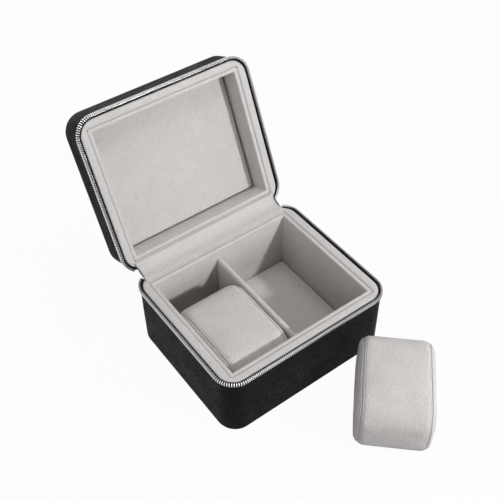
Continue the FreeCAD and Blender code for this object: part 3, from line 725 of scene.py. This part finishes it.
# %% Zip path
ZIP_X, ZIP_Y, ZIP_R, ZIP_END_X = 78.0, 66.0, 15.0, 71.3
zip_cx, zip_cy = ZIP_X - ZIP_R, ZIP_Y - ZIP_R
zip_end_turn = math.acos((ZIP_END_X - zip_cx) / ZIP_R)
ZIP_RUNS = (ZIP_R * zip_end_turn, 2 * zip_cy, ZIP_R * math.pi / 2)
ZIP_LENGTH = 2 * (sum(ZIP_RUNS) + zip_cx)


def zip_corner(centre_y, turn):
    out = Vector((math.cos(turn), math.sin(turn), 0))
    return Vector((-zip_cx, centre_y, 0)) + out * ZIP_R, out


def zip_point(s):
    """The point at a distance s along the zip, and the outward direction there."""
    if s > ZIP_LENGTH / 2:
        point, out = zip_point(ZIP_LENGTH - s)
        return Vector((-point.x, point.y, 0)), Vector((-out.x, out.y, 0))
    end_arc, side, arc = ZIP_RUNS
    if s < end_arc:
        return zip_corner(zip_cy, math.pi - zip_end_turn + s / ZIP_R)
    s -= end_arc
    if s < side:
        return Vector((-ZIP_X, zip_cy - s, 0)), Vector((-1, 0, 0))
    s -= side
    if s < arc:
        return zip_corner(-zip_cy, math.pi + s / ZIP_R)
    s -= arc
    return Vector((s - zip_cx, -ZIP_Y, 0)), Vector((0, -1, 0))


print("zip length:", round(ZIP_LENGTH, 1), "mm")

# %% [markdown]
# ## Zip tape
#
# The tape stands on edge between the leather and the board, and only its folded top edge shows,
# as a thin black line inside the teeth. A Blender curve with a bevel could sweep its section as
# well, but the skin gives it a UV map in metres, which the weave needs.

# %% Zip tapes
TAPE_STEPS = 220
TAPE_HALF = 0.45


def tape_loops(edge, foot, ledge):
    """The tape's section, swept along the zip; ledge is how far its fold reaches inwards."""
    fold = ((0.5, 0.45), (0.32, 0.08), (0.0, 0.0), (-ledge * 0.53, 0.03), (-ledge * 0.83, 0.2))
    fold += ((-ledge, 0.5), (-ledge, 2.2), (-0.46, 2.2))
    sign = 1 if edge > foot else -1
    section = [(-TAPE_HALF, foot), (TAPE_HALF, foot)]
    section += [(offset, edge - sign * drop) for offset, drop in fold]
    loops = []
    for offset, level in section:
        row = []
        for k in range(TAPE_STEPS + 1):
            point, out = zip_point(ZIP_LENGTH * k / TAPE_STEPS)
            row.append(point + out * offset + Vector((0, 0, level)))
        loops.append(row)
    return loops


for name, edge, foot, ledge, place, body, node in (
    ("base_tape_edge", 62.8, 54.5, 0.4, None, "base", "base_zip_tape"),
    ("lid_tape_edge", 63.7, 72.0, 0.5, opened, "lid", "lid_zip_tape"),
):
    loops = tape_loops(edge, foot, ledge)
    tape = skin(name, loops, tape_cloth, place, ring_closed=False, tube=True, flip=(edge < foot))
    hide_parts(node)
    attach(tape, body)
    tell(tape)

# %% [markdown]
# ## Zip teeth
#
# Each metal tooth has a narrow foot that grips the tape and a wider head that locks with its
# neighbours when the case is shut. In plan it looks like a bottle, and its head is a little
# thinner than its foot. The flanks, which face the next tooth, lie in shade between the teeth,
# and they get a dark metal as painted shade; that is what makes a zip look like a ladder. All
# the teeth of one half go into a single mesh, because they never move against each other.

# %% Teeth
PITCH = 1.6
TOOTH_MARGIN = 0.34
TOOTH_OUT = 0.5
TOOTH_REACH = 2.4
TOOTH_MIDDLE = 1.5
HEAD_FROM = 1.3
HEAD_DROP = 0.3
EDGE_TAPER = 0.6
TOOTH_PLAN = (
    (-0.3, 0.0), (-0.3, 1.15), (-0.49, 1.45), (-0.49, 2.15), (-0.36, TOOTH_REACH),
    (0.36, TOOTH_REACH), (0.49, 2.15), (0.49, 1.45), (0.3, 1.15), (0.3, 0.0),
)
TOOTH_RINGS = ((0.0, 0.12), (0.2, 0.0), (2.8, 0.0), (3.0, 0.12))
TOOTH_FLANKS = (0, 1, 2, 6, 7, 8)


def teeth_mesh(name, start, low, place):
    """A row of teeth whose undersides are at the height low, from start along the zip."""
    points = []
    faces = []
    flanks = []
    count = len(TOOTH_PLAN)
    rings = len(TOOTH_RINGS)
    s = start + TOOTH_MARGIN
    while s < ZIP_LENGTH - TOOTH_MARGIN:
        point, out = zip_point(s)
        along = Vector((-out.y, out.x, 0))
        first = len(points)
        for level, inset in TOOTH_RINGS:
            for side, reach in TOOTH_PLAN:
                rise = level
                if reach > HEAD_FROM:
                    rise += HEAD_DROP if level < TOOTH_MIDDLE else -HEAD_DROP
                narrow = 1 - inset / EDGE_TAPER
                far = TOOTH_OUT + min(reach, TOOTH_REACH - inset)
                up = Vector((0, 0, low + rise))
                points.append(point + out * far + along * side * narrow + up)
        faces += tube_faces(first, rings, count)
        flanks += [int(k in TOOTH_FLANKS) for k in range(count)] * (rings - 1) + [0, 0]
        s += PITCH
    row = mesh_object(name, points, faces, zip_metal, None, place, smooth=False)
    # The flanks get the dark metal, painted shade between neighbouring teeth.
    row.data.materials.append(flank_shade_metal)
    row.data.polygons.foreach_set("material_index", flanks)
    return row


base_teeth = teeth_mesh("base_teeth_row", 0.0, 60.4, None)
lid_teeth = teeth_mesh("lid_teeth_row", PITCH / 2, 63.1, opened)
for teeth, body, node in (
    (base_teeth, "base", "base_zip_teeth"), (lid_teeth, "lid", "lid_zip_teeth"),
):
    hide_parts(node)
    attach(teeth, body)
    tell(teeth)

# %% [markdown]
# ## Thread along the zip, and stitching in the leather
#
# Two fine seams run round each half. A dark thread of short loops lies over the foot of every
# tooth, along the tape's edge, and draws the dark line between the two rows of teeth. Each loop
# is short enough to leave room for the teeth of the other half when the case is shut. Below the
# zip, a row of stitches goes through leather and tape. A stitch is a short thread that dips into
# the leather at both ends, so each is a small tube with tapered ends, and all of a row share one
# mesh.

# %% Thread helpers
THREAD_RINGS = ((-1, 0.35), (-0.7, 0.9), (0, 1.0), (0.7, 0.9), (1, 0.35))
THREAD_SIDES = 6
SHORT_STEP = 0.05


def thread_path(far, level, facing=None, shift=0.0):
    """A path beside the zip, and the way out of the surface there: facing, or outwards."""
    def at(s):
        point, out = zip_point(min(max(s + shift, 0.0), ZIP_LENGTH))
        return point + out * far + Vector((0, 0, level)), out if facing is None else facing
    return at


def thread_rows(name, path_at, pitch, stitch, radius, dip, place):
    """A row of short tubes along a path; their ends dip below it."""
    points = []
    faces = []
    s = pitch / 2
    while s < ZIP_LENGTH - pitch / 2:
        first = len(points)
        for share, swell in THREAD_RINGS:
            here = s + share * stitch / 2
            middle, out = path_at(here)
            ahead = path_at(here + SHORT_STEP)[0] - path_at(here - SHORT_STEP)[0]
            across = ahead.normalized().cross(out)
            middle = middle - out * dip * share ** 2
            for k in range(THREAD_SIDES):
                turn = 2 * math.pi * k / THREAD_SIDES
                spoke = out * math.cos(turn) + across * math.sin(turn)
                points.append(middle + spoke * radius * swell)
        faces += tube_faces(first, len(THREAD_RINGS), THREAD_SIDES)
        s += pitch
    return mesh_object(name, points, faces, thread_cloth, None, place)


# %% Zip thread and leather stitching
LOOP = {"pitch": PITCH, "stitch": 0.7, "radius": 0.22, "dip": 0.0}
STITCH = {"pitch": 3.2, "stitch": 2.3, "radius": 0.26, "dip": 0.3}
LOOP_OUT = 0.68
STITCH_OUT = 1.82
for half, place, loop_level, sign, shift, seam_level in (
    ("base", None, 63.3, 1, TOOTH_MARGIN - PITCH / 2, 57.6),
    ("lid", opened, 63.2, -1, TOOTH_MARGIN, 68.9),
):
    over_feet = thread_path(LOOP_OUT, loop_level, Vector((0, 0, sign)), shift)
    cord = thread_rows(half + "_zip_cord", over_feet, place=place, **LOOP)
    below_zip = thread_path(STITCH_OUT, seam_level)
    seam = thread_rows(half + "_stitching", below_zip, place=place, **STITCH)
    for piece in (cord, seam):
        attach(piece, half)
        tell(piece)

# %% [markdown]
# ## The soft hinge
#
# Inside, a velvet strip on a black backing covers the gap between the halves. Outside, a strip of
# leather does the same. A strip follows a path of a line, an arc and a line, and is as thick as
# far less near.

# %% Hinge helpers
ARC_STEPS = 18
LINE_STEPS = 6
EDGE_EASE = 0.28
END_TRIM = 0.12


def bend_path(start, run, centre, radius, first, last, end_run):
    """Points and left-hand directions along a line, an arc and a line, in the Y-Z plane."""
    rows = []
    turn = math.copysign(1, last - first)
    for k in range(ARC_STEPS + 1):
        angle = math.radians(first + (last - first) * k / ARC_STEPS)
        out = Vector((0, math.cos(angle), math.sin(angle)))
        rows.append((centre + out * radius, -out * turn))
    (head, head_side), (tail, tail_side) = rows[0], rows[-1]
    ahead = (head - start).normalized()
    lead = [(start + ahead * (run * k / LINE_STEPS), head_side) for k in range(LINE_STEPS)]
    onward = Vector((0, tail_side.z, -tail_side.y))
    follow = [
        (tail + onward * (end_run * k / LINE_STEPS), tail_side) for k in range(1, LINE_STEPS + 1)
    ]
    return lead + rows + follow


def strip_loops(path, near, far, half_width):
    """Cross sections of a strip along x; its long edges and ends are softened."""
    loops = []
    for share in STATIONS:
        trim = END_TRIM if abs(share) == 1 else 0.0
        under = []
        over = []
        for k, (point, side) in enumerate(path):
            middle = point + Vector((half_width * share, 0, 0))
            ease = EDGE_EASE * (far - near) if k in (0, len(path) - 1) else 0.0
            under.append(middle + side * (near + ease + trim))
            over.append(middle + side * (far - ease - trim))
        loops.append(under + over[::-1])
    return loops


STATIONS = [-1.0, -0.995] + [-0.98 + 1.96 * k / 40 for k in range(41)] + [0.995, 1.0]

# %% Hinge strips
INNER_BEND = (Vector((0, 65.41, 74.55)), 12.3)
inner_path = bend_path(Vector((0, 58.75, 62.25)), 6.66, *INNER_BEND, -90, -24, 0.3)
backing_path = bend_path(Vector((0, 59.45, 62.25)), 5.96, *INNER_BEND, -90, -26, 0.2)
spine_path = bend_path(
    Vector((0, 67.72, 41.2)), 18.9, Vector((0, 70.3, 60.1)), 2.58, 180, 66, 19.0
)
print("inner path ends at", inner_path[-1][0], "spine ends at", spine_path[-1][0])
inner_blend = (Vector((0, 65.4, 62.3)) * MM, Vector((0, 76.3, 69.5)) * MM)
spine_blend = (Vector((0, 67.6, 60.0)) * MM, Vector((0, 71.6, 62.7)) * MM)
for name, loops, material, node, slot, ends in (
    (
        "hinge_backing_strip", strip_loops(backing_path, 0.02, 0.5, 70.2),
        tail_cloth, "hinge_backing", "zip_tape", inner_blend,
    ),
    (
        "hinge_velvet_strip", strip_loops(inner_path, 0.52, 1.48, 70.8),
        velvet, "hinge_lining", "velvet", inner_blend,
    ),
    (
        "hinge_spine_strip", strip_loops(spine_path, 0.02, 0.98, 52.0),
        leather, "hinge_leather", "leather", spine_blend,
    ),
):
    strip = skin(name, loops, material, caps=(0, len(loops) - 1))
    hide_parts(node)
    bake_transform(strip)
    tell(strip)

# %% [markdown]
# ## Watch pillows
#
# Each pillow is a velvet band sewn round a foam block, with a padded cap let in at each side.
# One soft curve runs from the band over the seam to the flat of the cap. The seam is a narrow
# groove in that curve, and a row of stitching beside it is a shallower one. A cushion is often
# sculpted, but a formula keeps both pillows and both sides alike. The form is skinned from rings,
# which lie closer near a seam, where the form turns quickly.

# %% Pillow form
PILLOW_SIDE = (42.3, 25.8, 19.0)
PILLOW_HALF_WIDTH = 30.1
CAP_DOME = 0.5
SEAM_AT = 25.6
STITCH_AT = 24.1
EDGE_START = 20.6
EDGE_ROUND = 8.4
EDGE_REACH = PILLOW_HALF_WIDTH - CAP_DOME - EDGE_START


def pillow_ring(x, inset, share):
    """A ring round the pillow at x, drawn in by inset, then shrunk to a share."""
    half_y, half_z, corner = PILLOW_SIDE
    flat = rounded_loop(half_y - inset, half_z - inset, corner - inset * 0.9, 0, 14, 12)
    return [Vector((x, p.x * share, p.y * share)) for p in flat]


def edge_row(x, groove=0.0):
    """A ring where the soft edge has come as far out as x; groove draws it in further."""
    bend = min(max((x - EDGE_START) / EDGE_REACH, 0.0), 1.0)
    return (x, EDGE_ROUND * (1 - math.sqrt(1 - bend ** 2)) + groove, 1.0)


cap_rows = []
for share in (0.12, 0.3, 0.48, 0.66, 0.8, 0.91):
    cap_rows.append((PILLOW_HALF_WIDTH - CAP_DOME * share ** 2, EDGE_ROUND, share))
for angle in (90, 83, 76, 69, 62, 55, 49, 44):
    cap_rows.append(edge_row(EDGE_START + EDGE_REACH * math.sin(math.radians(angle))))
cap_rows += [edge_row(SEAM_AT + 0.6), edge_row(SEAM_AT + 0.28, 0.4)]
seam_row = edge_row(SEAM_AT, 1.5)
band_rows = [edge_row(SEAM_AT - 0.28, 0.4), edge_row(SEAM_AT - 0.6)]
for offset, groove in ((0.5, 0.0), (0.22, 0.15), (0.0, 0.45), (-0.22, 0.15), (-0.5, 0.0)):
    band_rows.append(edge_row(STITCH_AT + offset, groove))
for x in (22.4, 20.6, 18.2, 15.4, 12.3, 8.4, 4.2, 0.0):
    band_rows.append(edge_row(x))
rows = cap_rows + [seam_row] + band_rows
rows += [(-x, inset, share) for x, inset, share in reversed(rows[:-1])]
pillow_rings = [pillow_ring(*row) for row in rows]
seam_rings = [i for i, row in enumerate(rows) if abs(abs(row[0]) - SEAM_AT) < 0.01]
print("pillow rings:", len(rows), "seams at rings", seam_rings)

# %% [markdown]
# ### Stuffing by cloth simulation
#
# Stuffing pushes the cloth out between the seams, and a simulation finds that swell by itself.
# The smooth form is blown up like a balloon for twenty frames, with the seams pinned. Each point
# keeps the way it moved, but never more than a limit, so the cloth swells softly between the
# seams and the pillow stays its size. The caps take their UV map from their flat sides.

# %% Stuff the pillow
SIM_FRAMES = 20
MOST_SWELL = 0.9 * MM
CLOTH_SETTINGS = {
    "vertex_group_mass": "pins", "use_pressure": True, "uniform_pressure_force": 3.0,
    "mass": 0.15, "bending_stiffness": 0.8, "tension_stiffness": 25,
    "compression_stiffness": 25, "quality": 5,
}


def stuff(piece, pinned):
    """Blows a closed mesh up as cloth, and keeps how far each point moved, up to a limit."""
    rest = [v.co.copy() for v in piece.data.vertices]
    pins = piece.vertex_groups.new(name="pins")
    pins.add(pinned, 1.0, "REPLACE")
    cloth = piece.modifiers.new("stuffing", "CLOTH")
    for setting, value in CLOTH_SETTINGS.items():
        setattr(cloth.settings, setting, value)
    cloth.settings.effector_weights.gravity = 0
    cloth.point_cache.frame_start = 1
    cloth.point_cache.frame_end = SIM_FRAMES
    for frame_number in range(1, SIM_FRAMES + 1):
        scene.frame_set(frame_number)
    shaped = piece.evaluated_get(bpy.context.evaluated_depsgraph_get())
    moved = [v.co.copy() for v in shaped.data.vertices]
    piece.modifiers.remove(cloth)
    piece.vertex_groups.remove(pins)
    scene.frame_set(1)
    furthest = 0.0
    for vertex, a, b in zip(piece.data.vertices, rest, moved):
        step = b - a
        furthest = max(furthest, step.length)
        if step.length > MOST_SWELL:
            step *= MOST_SWELL / step.length
        vertex.co = a + step
    piece.data.update()
    return furthest


pillow_caps = (0, len(pillow_rings) - 1)
pillow_form = skin("pillow_form", pillow_rings, pillow_velvet, caps=pillow_caps, flip=True)
lengths = pillow_form.data.uv_layers["lengths"]
for face in pillow_form.data.polygons:
    if abs(face.center.x) > (SEAM_AT + 0.2) * MM:
        for corner in face.loop_indices:
            at = pillow_form.data.vertices[pillow_form.data.loops[corner].vertex_index].co
            lengths.data[corner].uv = (at.y, at.z)
around = len(pillow_rings[0])
pinned = [ring * around + k for ring in seam_rings for k in range(around)]
print("cloth moved up to", round(stuff(pillow_form, pinned) / MM, 2), "mm")

# %% [markdown]
# ## Two pillows from one form
#
# Both pillows share the stuffed form. One stands in the left compartment, the other has been
# taken out and stands turned in front of the case. The underside is pressed flat where it rests.
# Each gets its own copy of the mesh, moved to its place. One level of subdivision rounds the quads.

# %% Place the pillows
rest_height = -PILLOW_SIDE[1] * MM
for vertex in pillow_form.data.vertices:
    vertex.co.z = max(vertex.co.z, rest_height)
for side, at, turn, body in (
    ("left", (-35.8, -11.7, 30.1), 0.0, "left_pillow"),
    ("right", (36.9, -123.5, 25.8), -43.8, "right_pillow"),
):
    pillow = bpy.data.objects.new(side + "_pillow_cover", pillow_form.data.copy())
    turned = Matrix.Rotation(math.radians(turn), 4, "Z")
    pillow.data.transform(Matrix.Translation(Vector(at) * MM) @ turned)
    scene.collection.objects.link(pillow)
    rounder = pillow.modifiers.new("rounder", "SUBSURF")
    rounder.levels = 1
    rounder.render_levels = 1
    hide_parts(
        *(side + "_pillow_" + part for part in ("wrap", "cap_left", "cap_right", "core"))
    )
    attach(pillow, body)
    tell(pillow)
bpy.data.objects.remove(pillow_form)

# %% [markdown]
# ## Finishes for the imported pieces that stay
#
# The zip's tail, its stops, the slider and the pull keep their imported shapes. A small bevel
# catches light on their edges. The boards and foams inside the walls can't be seen, but get a
# finish too, so that the model is right when it is taken apart.

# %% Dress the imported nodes
node_finish = {
    "base_board": grey_board, "lid_board": grey_board, "divider_board": grey_board,
    "base_foam": sheet_foam, "lid_foam": sheet_foam, "base_bottom_leather": leather,
    "zip_tail_tape": tail_cloth, "zip_tail_teeth": zip_metal, "zip_end_stops": zip_metal,
    "zip_slider": zip_metal, "zip_pull": zip_metal,
}
for name, material in node_finish.items():
    packed = frame["nodes"][name]
    for holder in packed.material_slots:
        holder.link = "OBJECT"
        holder.material = material
    if name.startswith("zip_"):
        soft_edge = packed.modifiers.new("soft_edge", "BEVEL")
        soft_edge.width = 0.12 * MM
        soft_edge.segments = 2
        soft_edge.limit_method = "ANGLE"
print("dressed:", ", ".join(node_finish))

# %% [markdown]
# ## The table
#
# The case stands on a white table. It looks white to the camera and in reflections, yet keeps a
# faint shadow, because a small part of it still takes light. More light would whiten it too, but
# it would also bleach the velvet.

# %% Table
TABLE_HALF = 3000
TABLE_LEVEL = -0.05
TABLE_SHADE = 0.55
BRIGHT_PART = 0.965


def white_where_seen(tree):
    """1 for camera, glossy and transmission rays, 0 for the rays that light things."""
    path = add_node(tree, "LightPath")
    seen = maths(tree, "MAXIMUM", path.outputs["Is Camera Ray"], path.outputs["Is Glossy Ray"])
    return maths(tree, "MAXIMUM", seen, path.outputs["Is Transmission Ray"])


table_finish = bpy.data.materials.new("white_table")
table_finish.use_nodes = True
tree = table_finish.node_tree
tree.nodes.clear()
fine = noise_value(tree, add_node(tree, "TexCoord").outputs["Object"], 0.002, 3.0)
shade = maths(tree, "MULTIPLY_ADD", fine, 0.02, TABLE_SHADE)
matt = add_node(tree, "BsdfDiffuse", Color=three_times(tree, shade))
bright = add_node(tree, "Emission", Color=(1, 1, 1, 1), Strength=1.0)
share = maths(tree, "MULTIPLY", white_where_seen(tree), BRIGHT_PART)
mixer = add_node(tree, "MixShader")
mixed = feed_all(tree, mixer, share, matt.outputs[0], bright.outputs[0])
add_node(tree, "OutputMaterial", Surface=mixed)

corners = ((-1, -1), (1, -1), (1, 1), (-1, 1))
table_points = [Vector((x * TABLE_HALF, y * TABLE_HALF, TABLE_LEVEL)) for x, y in corners]
table = mesh_object("table", table_points, [[0, 1, 2, 3]], table_finish, smooth=False)
tell(table)

# %% [markdown]
# ## Light
#
# The key lamp at the front is small, so the shadows inside the tray have clear edges. A broad
# lamp overhead and weaker ones from the right, the left and behind keep every side readable. A
# sky fills the rest, more from the sides than from above. Like the table, it is seen as white.

# %% Sky
SIDE_LIGHT = 0.33
ZENITH_LIGHT = 0.085
sky = bpy.data.worlds.new("studio")
scene.world = sky
sky.use_nodes = True
tree = sky.node_tree
background = tree.nodes["Background"]
background.inputs["Color"].default_value = (1, 1, 1, 1)
view_way = add_node(tree, "TexCoord").outputs["Generated"]
height = add_node(tree, "SeparateXYZ", Vector=view_way).outputs[2]
light = add_node(
    tree, "MapRange", {"interpolation_type": "SMOOTHSTEP"},
    Value=height, From_Min=0.5, From_Max=0.9, To_Min=SIDE_LIGHT, To_Max=ZENITH_LIGHT,
).outputs["Result"]
seen = white_where_seen(tree)
lit = maths(tree, "MULTIPLY", light, maths(tree, "SUBTRACT", 1.0, seen))
feed(tree, background.inputs["Strength"], maths(tree, "ADD", lit, seen))
print("sky:", sky.name)

# %% Lamps
LAMP_AIM = Vector((60, 50, 60)) * MM


def area_lamp(name, toward, distance, size, watts):
    """A round lamp that shines along toward at the case, from a distance in metres."""
    lamp = bpy.data.lights.new(name, "AREA")
    lamp.shape = "DISK"
    lamp.size = size
    lamp.energy = watts
    holder = bpy.data.objects.new(name, lamp)
    holder.location = LAMP_AIM - Vector(toward).normalized() * distance
    holder.rotation_euler = Vector(toward).to_track_quat("-Z", "Y").to_euler()
    scene.collection.objects.link(holder)
    print("lamp", name, "of", watts, "W")


area_lamp("key", (-0.28, 0.831, -0.4805), 0.85, 0.07, 4.6)
area_lamp("top", (0.0, 0.1, -1.0), 1.2, 0.9, 4.6)
area_lamp("side", (-0.86, 0.12, -0.55), 1.0, 0.5, 1.2)
area_lamp("left", (0.85, 0.25, -0.45), 1.0, 0.6, 0.8)
area_lamp("back", (0.1, -0.95, -0.2), 1.1, 0.9, 3.6)
